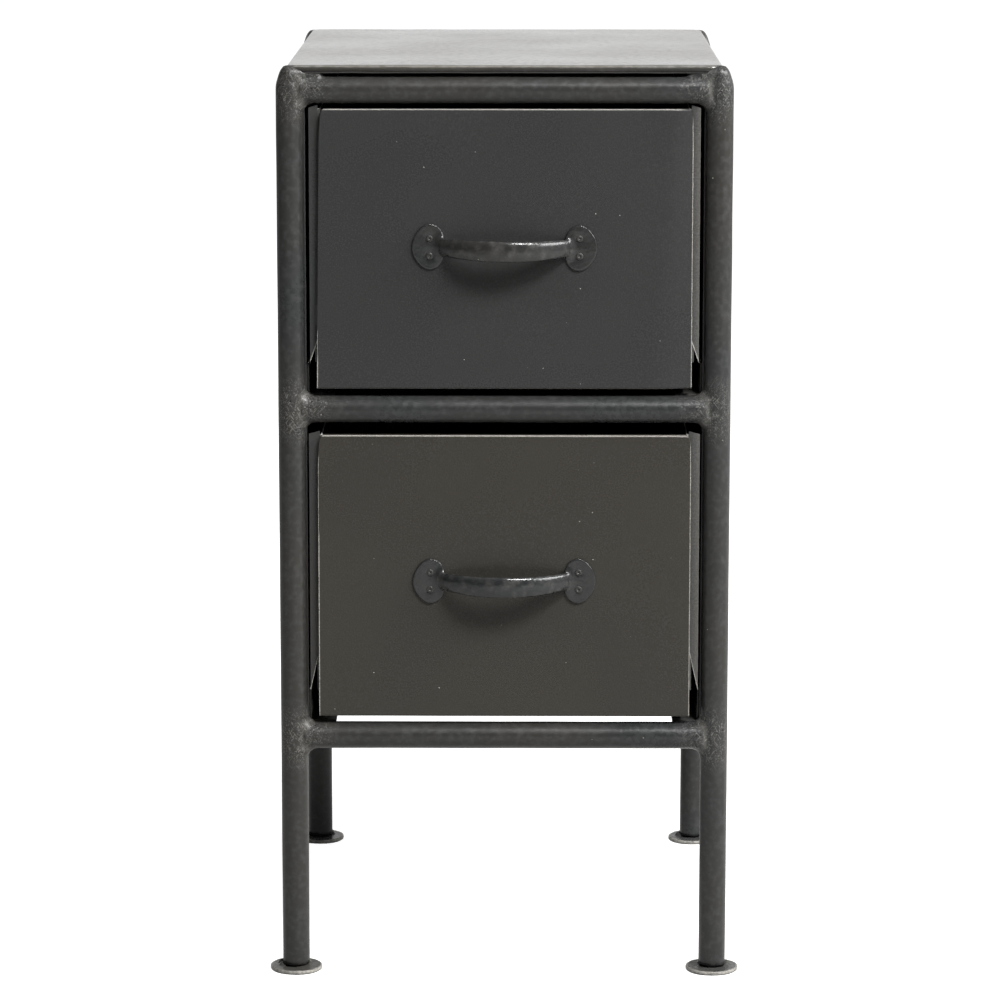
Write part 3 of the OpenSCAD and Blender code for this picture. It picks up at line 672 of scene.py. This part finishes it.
handleSizes = {"plateOut": 64, "plateIn": 42.4, "plateHigh": 15.7, "arc": 16.2, "lobe": 9, "lobeJoin": 0.8,
               "plate": 2, "edge": 0.7, "dish": 0.35, "dishWide": 3.2,
               "reach": 24, "radius": 62.4, "bow": 5, "end": 5.7, "crest": 0.6, "belly": 2.4, "foot": 48.4,
               "outerRound": 2.1, "innerRound": 2.8,  # two is an ellipse, more is squarer
               "rivetX": 51.8, "rivetZ": 6.1, "join": 2.4, "net": 0.62, "netEdge": 2,
               "cast": ((0.2, 9), (0.05, 2.4)), "blister": 0.2, "blisterSize": 1.3, "blisterCut": 0.22,
               "shine": 0.06, "shineSize": 5}


def handleField(p):
    s = handleSizes
    x, y, z = np.abs(p[..., 0]), p[..., 1], p[..., 2]  # y is nought on the drawer's face, less in front
    lobeX = s["plateIn"] + s["lobe"]
    lobes = np.hypot(x - lobeX, np.abs(z) - s["plateHigh"] + s["lobe"]) - s["lobe"]
    outer = np.maximum(np.hypot(x - s["plateOut"] + s["arc"], z) - s["arc"], lobeX - x)
    deep = np.abs(y + s["plate"] / 2) - s["plate"] / 2
    plate = roundedSlab(softUnion(lobes, outer, s["lobeJoin"]), deep, s["edge"])
    dish = s["dish"] * np.exp(-((np.hypot(x - s["rivetX"], np.abs(z) - s["rivetZ"]) / s["dishWide"]) ** 2))
    plate = plate + np.where(y < -s["plate"] / 2, dish, 0)
    share = np.clip(1 - (x / s["foot"]) ** 2, 0, 1)
    top, bottom = s["end"] + s["crest"] * share, -s["end"] - s["belly"] * share
    rho = np.hypot(x, y + s["reach"] - s["radius"])
    u = (rho - s["radius"] + s["bow"] / 2) / (s["bow"] / 2)
    v = (z - (top + bottom) / 2) / ((top - bottom) / 2)
    power = np.where(u > 0, s["outerRound"], s["innerRound"])
    shape = (np.abs(u) ** power + np.abs(v) ** power) ** (1 / power) - 1
    bow = np.maximum(shape * s["bow"] / 2, y)
    return softUnion(plate, bow, s["join"])


def makeHandle(level, seed):
    s, own = handleSizes, frontLevels[level]
    edge = s["netEdge"]
    points, faces = skinOf(handleField, (-s["plateOut"] - edge, -s["reach"] - edge, -s["plateHigh"] - edge),
                           (s["plateOut"] + edge, edge, s["plateHigh"] + edge), s["net"])
    points, normals = settle(handleField, points, 5, 0.4)
    front = np.clip(-points[:, 1], 0, 1)
    blisters = np.clip(roughness(points, s["blisterSize"], seed + 2) - s["blisterCut"], 0, 1)
    cast = swells(points, s["cast"], seed) - s["blister"] * blisters
    points = points + normals * (cast * front)[:, None]
    wearAndHighlight = np.clip(roughness(points, s["shineSize"], seed + 3) + 0.1, 0, 1) * s["shine"] * (points[:, 1] < -3)
    a = math.radians(own["tilt"])
    x, y, z = points.T
    turned = np.stack([math.cos(a) * x + math.sin(a) * z, y + frontSizes["faceY"],
                       -math.sin(a) * x + math.cos(a) * z + own["handleZ"]], 1)
    return makePiece(level + "Handle", turned, faces, {"wearAndHighlight": wearAndHighlight})


for level, seed in (("upper", 51), ("lower", 57)):
    dress(makeHandle(level, seed), "cast_handle", level + "_drawer", level + "_handle")
print("handles made")


# Feet: washers with an uneven weld on the side where the cut tube touches

footSizes = {"radius": 18.5, "high": 3, "edge": 0.9, "leg": 9.5, "bead": 2.2, "beadOut": 0.6, "beadUp": 0.2,
             "weldHalf": 1.75, "weldFade": 0.5, "weldLumps": ((0.28, 6, 1), (0.16, 13, 3)), "join": 1.4,
             "rimWaves": ((0.25, 2, 1), (0.12, 5, 2)),  # height, waves round the rim, share of the seed
             "net": 0.75, "netUp": 5, "dents": ((0.16, 2.6), (0.2, 9)), "shine": 0.5, "shineWide": 1.6}
footNames = {(-1, -1): ("frontLeftFoot", "front_left_foot"), (1, -1): ("frontRightFoot", "front_right_foot"),
             (-1, 1): ("rearLeftFoot", "rear_left_foot"), (1, 1): ("rearRightFoot", "rear_right_foot")}


def makeFoot(corner, seed):
    s = footSizes
    centre = (corner[0] * frameSizes["legX"], frameSizes["frontY" if corner[1] < 0 else "rearY"], 0)
    weldWay = math.radians(liftTurns[corner] + 180)

    def field(p):
        x, y, z = p[..., 0], p[..., 1], p[..., 2]
        rho, angle = np.hypot(x, y), np.arctan2(y, x)
        wide = rho - s["radius"]
        for height, waves, share in s["rimWaves"]:
            wide = wide - height * np.sin(waves * angle + share * seed)
        disc = roundedSlab(wide, np.abs(z - s["high"] / 2) - s["high"] / 2, s["edge"])
        off = (angle - weldWay + math.pi) % (2 * math.pi) - math.pi
        lumps = sum((height * np.sin(waves * off + share * seed) for height, waves, share in s["weldLumps"]), 1)
        size = s["bead"] * np.clip((s["weldHalf"] - np.abs(off)) / s["weldFade"], 0, 1) * lumps
        bead = np.hypot(rho - s["leg"] - s["beadOut"], z - s["high"] - s["beadUp"]) - size
        return softUnion(disc, np.where(size > 0.2, bead, 5), s["join"])

    reach = s["radius"] + 2
    points, faces = skinOf(field, (-reach, -reach, -1.5), (reach, reach, s["high"] + s["netUp"]), s["net"])
    points, normals = settle(field, points, 4, 0.4)
    upper = np.clip((points[:, 2] - 0.4) / 0.8, 0, 1)  # the underside stays flat on the floor
    points = points + normals * (upper * swells(points, s["dents"], seed))[:, None]
    rho = np.hypot(points[:, 0], points[:, 1])
    rim = np.clip((rho - s["radius"] + s["shineWide"]) / s["shineWide"], 0, 1) * upper
    points[:, 2] = np.maximum(points[:, 2], 0)
    return makePiece(footNames[corner][0], points + np.array(centre), faces, {"wearAndHighlight": rim * s["shine"]})


feet = [dress(makeFoot(corner, 60 + 3 * i), "foot_lacquer", "frame", footNames[corner][1])
        for i, corner in enumerate(footNames)]
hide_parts("foot_welds")
print("feet made")


# Trays and runners: the folded sheet, with the sharp arrises taken off and a painted highlight along the top
# edges

traySizes = {"bevel": 0.35, "metalAndHighlight": 7, "setBack": 3.8, "frontEnd": 2.6}  # how far down from the top the edges carry the painted highlight
runnerSizes = {"bevel": 0.4, "metalAndHighlight": 0.5}
sheetAngle = 40


def softened(name, source, sizes, high):
    piece = addObject(name, nodes[source].data.copy())
    mesh = piece.data
    bm = bmesh.new()
    bm.from_mesh(mesh)
    bmesh.ops.remove_doubles(bm, verts=bm.verts, dist=0.005 * mm)
    bmesh.ops.dissolve_limit(bm, angle_limit=math.radians(1), verts=bm.verts, edges=bm.edges)
    bm.to_mesh(mesh)
    bm.free()
    if "setBack" in sizes:  # the sheet's front end stays clear of the curled front
        for v in mesh.vertices:
            if v.co.y < (frontSizes["faceY"] + sizes["frontEnd"]) * mm:
                v.co.y += sizes["setBack"] * mm
    metalAndHighlight = [v.co.z / mm > high - sizes["metalAndHighlight"] for v in mesh.vertices]
    mesh.attributes.new("wearAndHighlight", "FLOAT", "CORNER").data.foreach_set(
        "value", [float(all(metalAndHighlight[i] for i in face.vertices)) for face in mesh.polygons for _ in face.vertices])
    mesh.polygons.foreach_set("use_smooth", [True] * len(mesh.polygons))
    return bevelEdges(piece, sizes["bevel"], sheetAngle)


for level, own in frontLevels.items():
    dress(softened(level + "Tray", level + "_tray", traySizes, own["high"]),
          "inner_sheet", level + "_drawer", level + "_tray")
    for side in ("left", "right"):
        node = f"{level}_{side}_runner"
        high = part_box(node)[1][2] / mm
        dress(softened(level + side.capitalize() + "Runner", node, runnerSizes, high),
              "inner_sheet", "frame", node)
print("trays and runners made")


# Side flanges: narrow strips folded out behind each front, slanted off above the runner, with painted light
# brightening the right-hand strips outwards and a painted highlight on the slanted lower edges

flangeSizes = {"inX": 128.6, "outX": {"upper": 134.9, "lower": 136.2}, "y": (-176.6, -175.2),
               "low": {"upper": 437, "lower": 204}, "slant": {"upper": 18, "lower": 34},
               "topOut": 0.6, "topIn": 2.6, "columns": 9, "rows": 60, "crowd": 1.3,
               # painted light: shine lightens the right-hand strips towards the outside, and edge gives the
               # lowest rows a painted highlight
               "shine": {"left": 0.0, "right": 0.14}, "edge": 0.9,
               "wave": 0.25, "waveSize": 40}


def makeFlanges(level):
    s = flangeSizes
    columns, rows, outX = s["columns"], s["rows"], s["outX"][level]
    high = frontLevels[level]["high"]
    points, faces, wearAndHighlight = [], [], []
    for side, way in (("left", -1), ("right", 1)):
        faces += slabFaces(columns, rows, len(points))
        for y in s["y"]:
            for i in range(columns):
                u = i / (columns - 1)
                low = s["low"][level] + s["slant"][level] * (1 - u)
                top = high + s["topIn"] + (s["topOut"] - s["topIn"]) * u
                for j in range(rows):
                    share = (j / (rows - 1)) ** s["crowd"]
                    points.append((way * (s["inX"] + (outX - s["inX"]) * u), y, low + (top - low) * share))
                    wearAndHighlight.append(max(s["shine"][side] * (0.1 + u ** 1.5), s["edge"] * (j < 2)))
    points = np.array(points, float)
    points[:, 1] += s["wave"] * roughness(points * np.array([1, 0, 1]), s["waveSize"], 71)
    return faceOutward(makePiece(level + "Flanges", points, faces, {"wearAndHighlight": wearAndHighlight}, smooth=False))


for level in frontLevels:
    dress(makeFlanges(level), "inner_sheet", level + "_drawer", finish="side_sheet_lacquer")
print("flanges made")


# Rivets: small domes with a hollow in the middle, placed by a node tree

rivetSizes = {"head": 5.0, "rise": 0.9, "hollow": 1.1, "hollowWide": 0.85, "tail": 4.2, "proud": 0.15,
              "segments": 20, "rings": 16, "grow": (0.92, 1.06), "seed": 4}


def rivetTree():
    s = rivetSizes
    tree = bpy.data.node_groups.new("hollowRivets", "GeometryNodeTree")
    tree.interface.new_socket("Places", in_out="INPUT", socket_type="NodeSocketGeometry")
    for name in ("Head", "Rise", "Hollow", "Hollow Width", "Tail"):
        tree.interface.new_socket(name, in_out="INPUT", socket_type="NodeSocketFloat")
    tree.interface.new_socket("Finish", in_out="INPUT", socket_type="NodeSocketMaterial")
    tree.interface.new_socket("Rivets", in_out="OUTPUT", socket_type="NodeSocketGeometry")
    given = addNode(tree, "NodeGroupInput").outputs
    dome = addNode(tree, "GeometryNodeMeshUVSphere",
                   {"Segments": s["segments"], "Rings": s["rings"], "Radius": 1.0}).outputs[0]
    spot = addNode(tree, "GeometryNodeInputPosition").outputs[0]
    x, y, z = addNode(tree, "ShaderNodeSeparateXYZ", None, {0: spot}).outputs
    flat = addNode(tree, "ShaderNodeCombineXYZ", None, {0: x, 1: y})
    out = addNode(tree, "ShaderNodeVectorMath", {"operation": "LENGTH"}, {0: flat.outputs[0]}).outputs["Value"]

    # the upper half: a low dome, less a bell-shaped hollow
    near = addNode(tree, "ShaderNodeMath", {"operation": "DIVIDE"},
                   {0: out, 1: given["Hollow Width"]}).outputs[0]
    squared = addNode(tree, "ShaderNodeMath", {"operation": "MULTIPLY"}, {0: near, 1: near}).outputs[0]
    less = addNode(tree, "ShaderNodeMath", {"operation": "MULTIPLY", 1: -1.0}, {0: squared}).outputs[0]
    bell = addNode(tree, "ShaderNodeMath", {"operation": "EXPONENT"}, {0: less}).outputs[0]
    dent = addNode(tree, "ShaderNodeMath", {"operation": "MULTIPLY"}, {0: bell, 1: given["Hollow"]}).outputs[0]
    radius = addNode(tree, "ShaderNodeMath", {"operation": "MULTIPLY", 1: 0.5}, {0: given["Head"]}).outputs[0]
    rise, tail, across, along = [
        addNode(tree, "ShaderNodeMath", {"operation": "MULTIPLY"}, {0: way, 1: size}).outputs[0]
        for way, size in ((z, given["Rise"]), (z, given["Tail"]), (x, radius), (y, radius))]
    top = addNode(tree, "ShaderNodeMath", {"operation": "SUBTRACT"}, {0: rise, 1: dent}).outputs[0]
    settings = {"data_type": "FLOAT", "operation": "GREATER_THAN", 1: 0.0}
    isTop = addNode(tree, "FunctionNodeCompare", settings, {0: z}).outputs[0]
    height = addNode(tree, "GeometryNodeSwitch", {"input_type": "FLOAT"}, {0: isTop, 1: tail, 2: top})
    place = addNode(tree, "ShaderNodeCombineXYZ", None, {0: across, 1: along, 2: height.outputs[0]}).outputs[0]
    shaped = addNode(tree, "GeometryNodeSetPosition", None, {"Geometry": dome, "Position": place})
    smooth = addNode(tree, "GeometryNodeSetShadeSmooth", None, {0: shaped.outputs[0]}).outputs[0]

    # one at each place, turned to the front, no two quite alike
    turn = addNode(tree, "FunctionNodeEulerToRotation", {0: (math.pi / 2, 0, 0)}).outputs[0]
    size = addNode(tree, "FunctionNodeRandomValue",
                   {"data_type": "FLOAT", 2: s["grow"][0], 3: s["grow"][1], "Seed": s["seed"]}).outputs[1]
    placed = addNode(tree, "GeometryNodeInstanceOnPoints", None,
                     {"Points": given["Places"], "Instance": smooth, "Rotation": turn, "Scale": size})
    real = addNode(tree, "GeometryNodeRealizeInstances", None, {0: placed.outputs[0]}).outputs[0]
    done = addNode(tree, "GeometryNodeSetMaterial", None, {"Geometry": real, "Material": given["Finish"]})
    addNode(tree, "NodeGroupOutput", None, {0: done.outputs[0]})
    return tree


def baked(name, source, tree, values):  # runs a node tree on source and keeps the result as a plain mesh
    modifier = source.modifiers.new("nodes", "NODES")
    modifier.node_group = tree
    for item in tree.interface.items_tree:
        if item.item_type == "SOCKET" and item.in_out == "INPUT" and item.name in values:
            modifier[item.identifier] = values[item.name]
    bpy.context.view_layer.update()
    mesh = bpy.data.meshes.new_from_object(source.evaluated_get(bpy.context.evaluated_depsgraph_get()))
    source.modifiers.remove(modifier)
    return addObject(name, mesh)


def makeRivets():
    s = rivetSizes
    tree = rivetTree()
    values = {name.capitalize(): s[name] * mm for name in ("head", "rise", "hollow", "tail")}
    values["Hollow Width"] = s["hollowWide"] / s["head"] * 2  # as a share of the head's radius
    values["Finish"] = finishes["rivet_steel"]
    y = frontSizes["faceY"] - handleSizes["plate"] + s["proud"]
    for level, own in frontLevels.items():
        spots = [(sideX * handleSizes["rivetX"], y, own["handleZ"] + sideZ * handleSizes["rivetZ"])
                 for sideX in (-1, 1) for sideZ in (-1, 1)]
        source = makePiece(level + "RivetSpots", spots, [])
        piece = baked(level + "Rivets", source, tree, values)
        bpy.data.objects.remove(source)
        dress(piece, "rivet_steel", level + "_drawer", level + "_rivets")


makeRivets()
print("rivets made")


# Studio, in metres: a pale floor, a white surround that is dimmer on the camera's side, and soft lamps

studio = {"floor": "#b0b0ae", "floorHalf": 12, "seenGlow": 0.9, "mirroredGlow": 0.2,
          # how strong the light is from above, the right and behind, as (direction, strength) where its
          # rise starts and where it ends
          "surround": {"Z": ((0.1, 0.05), (0.8, 0.25)), "X": ((0.3, 0), (0.95, 1.0)),
                       "Y": ((0.5, 0), (0.95, 1.0))},
          # place, width, height, and power in watts
          "lamps": {"keyLamp": ((1.15, -2.2, 2.9), 1.1, 0.7, 190),
                    "rightLamp": ((2.9, -0.9, 2.2), 3.0, 1.1, 200),
                    "overheadLamp": ((0.2, 0.0, 3.0), 2.0, 2.0, 8)},
          "aim": (0, 0, 0.35)}


def makeFloor():
    half = studio["floorHalf"]
    mesh = bpy.data.meshes.new("floor")
    corners = [(-half, -half, 0), (half, -half, 0), (half, half, 0), (-half, half, 0)]
    mesh.from_pydata(corners, [], [(0, 1, 2, 3)])
    floor = addObject("floor", mesh)
    material = bpy.data.materials.new("whitePaperFloor")  # matt paper, which the camera sees brighter
    tree = emptyTree(material)
    paper = addNode(tree, "ShaderNodeBsdfDiffuse", {"Color": linear(studio["floor"])})
    rays = addNode(tree, "ShaderNodeLightPath").outputs
    mirrored = addNode(tree, "ShaderNodeMath", {"operation": "MULTIPLY", 1: studio["mirroredGlow"]},
                       {0: rays["Is Glossy Ray"]}).outputs[0]
    strength = addNode(tree, "ShaderNodeMath", {"operation": "MULTIPLY_ADD", 1: studio["seenGlow"]},
                       {0: rays["Is Camera Ray"], 2: mirrored}).outputs[0]
    glow = addNode(tree, "ShaderNodeEmission", {"Color": (1, 1, 1, 1)}, {"Strength": strength})
    both = addNode(tree, "ShaderNodeAddShader", None, {0: paper.outputs[0], 1: glow.outputs[0]})
    addNode(tree, "ShaderNodeOutputMaterial", None, {"Surface": both.outputs[0]})
    mesh.materials.append(material)


def makeSurround():
    world = bpy.data.worlds.new("studio")
    bpy.context.scene.world = world
    tree = emptyTree(world)
    way = addNode(tree, "ShaderNodeTexCoord").outputs["Generated"]
    way = addNode(tree, "ShaderNodeSeparateXYZ", None, {0: way}).outputs
    light = addNode(tree, "ShaderNodeLightPath").outputs["Is Camera Ray"]  # the camera sees plain white
    for axis, ((start, least), (end, most)) in studio["surround"].items():
        settings = {"interpolation_type": "SMOOTHSTEP", "From Min": start, "From Max": end,
                    "To Min": least, "To Max": most}
        part = addNode(tree, "ShaderNodeMapRange", settings, {"Value": way[axis]}).outputs[0]
        light = addNode(tree, "ShaderNodeMath", {"operation": "MAXIMUM"}, {0: light, 1: part}).outputs[0]
    back = addNode(tree, "ShaderNodeBackground", {"Color": (1, 1, 1, 1)}, {"Strength": light})
    addNode(tree, "ShaderNodeOutputWorld", None, {"Surface": back.outputs[0]})


def makeLamps():
    for name, (place, wide, tall, power) in studio["lamps"].items():
        data = bpy.data.lights.new(name, "AREA")
        data.shape, data.size, data.size_y, data.energy = "RECTANGLE", wide, tall, power
        lamp = addObject(name, data)
        lamp.location = place
        lamp.rotation_euler = (Vector(studio["aim"]) - Vector(place)).to_track_quat("-Z", "Y").to_euler()


makeFloor()
makeSurround()
makeLamps()
print("studio made")
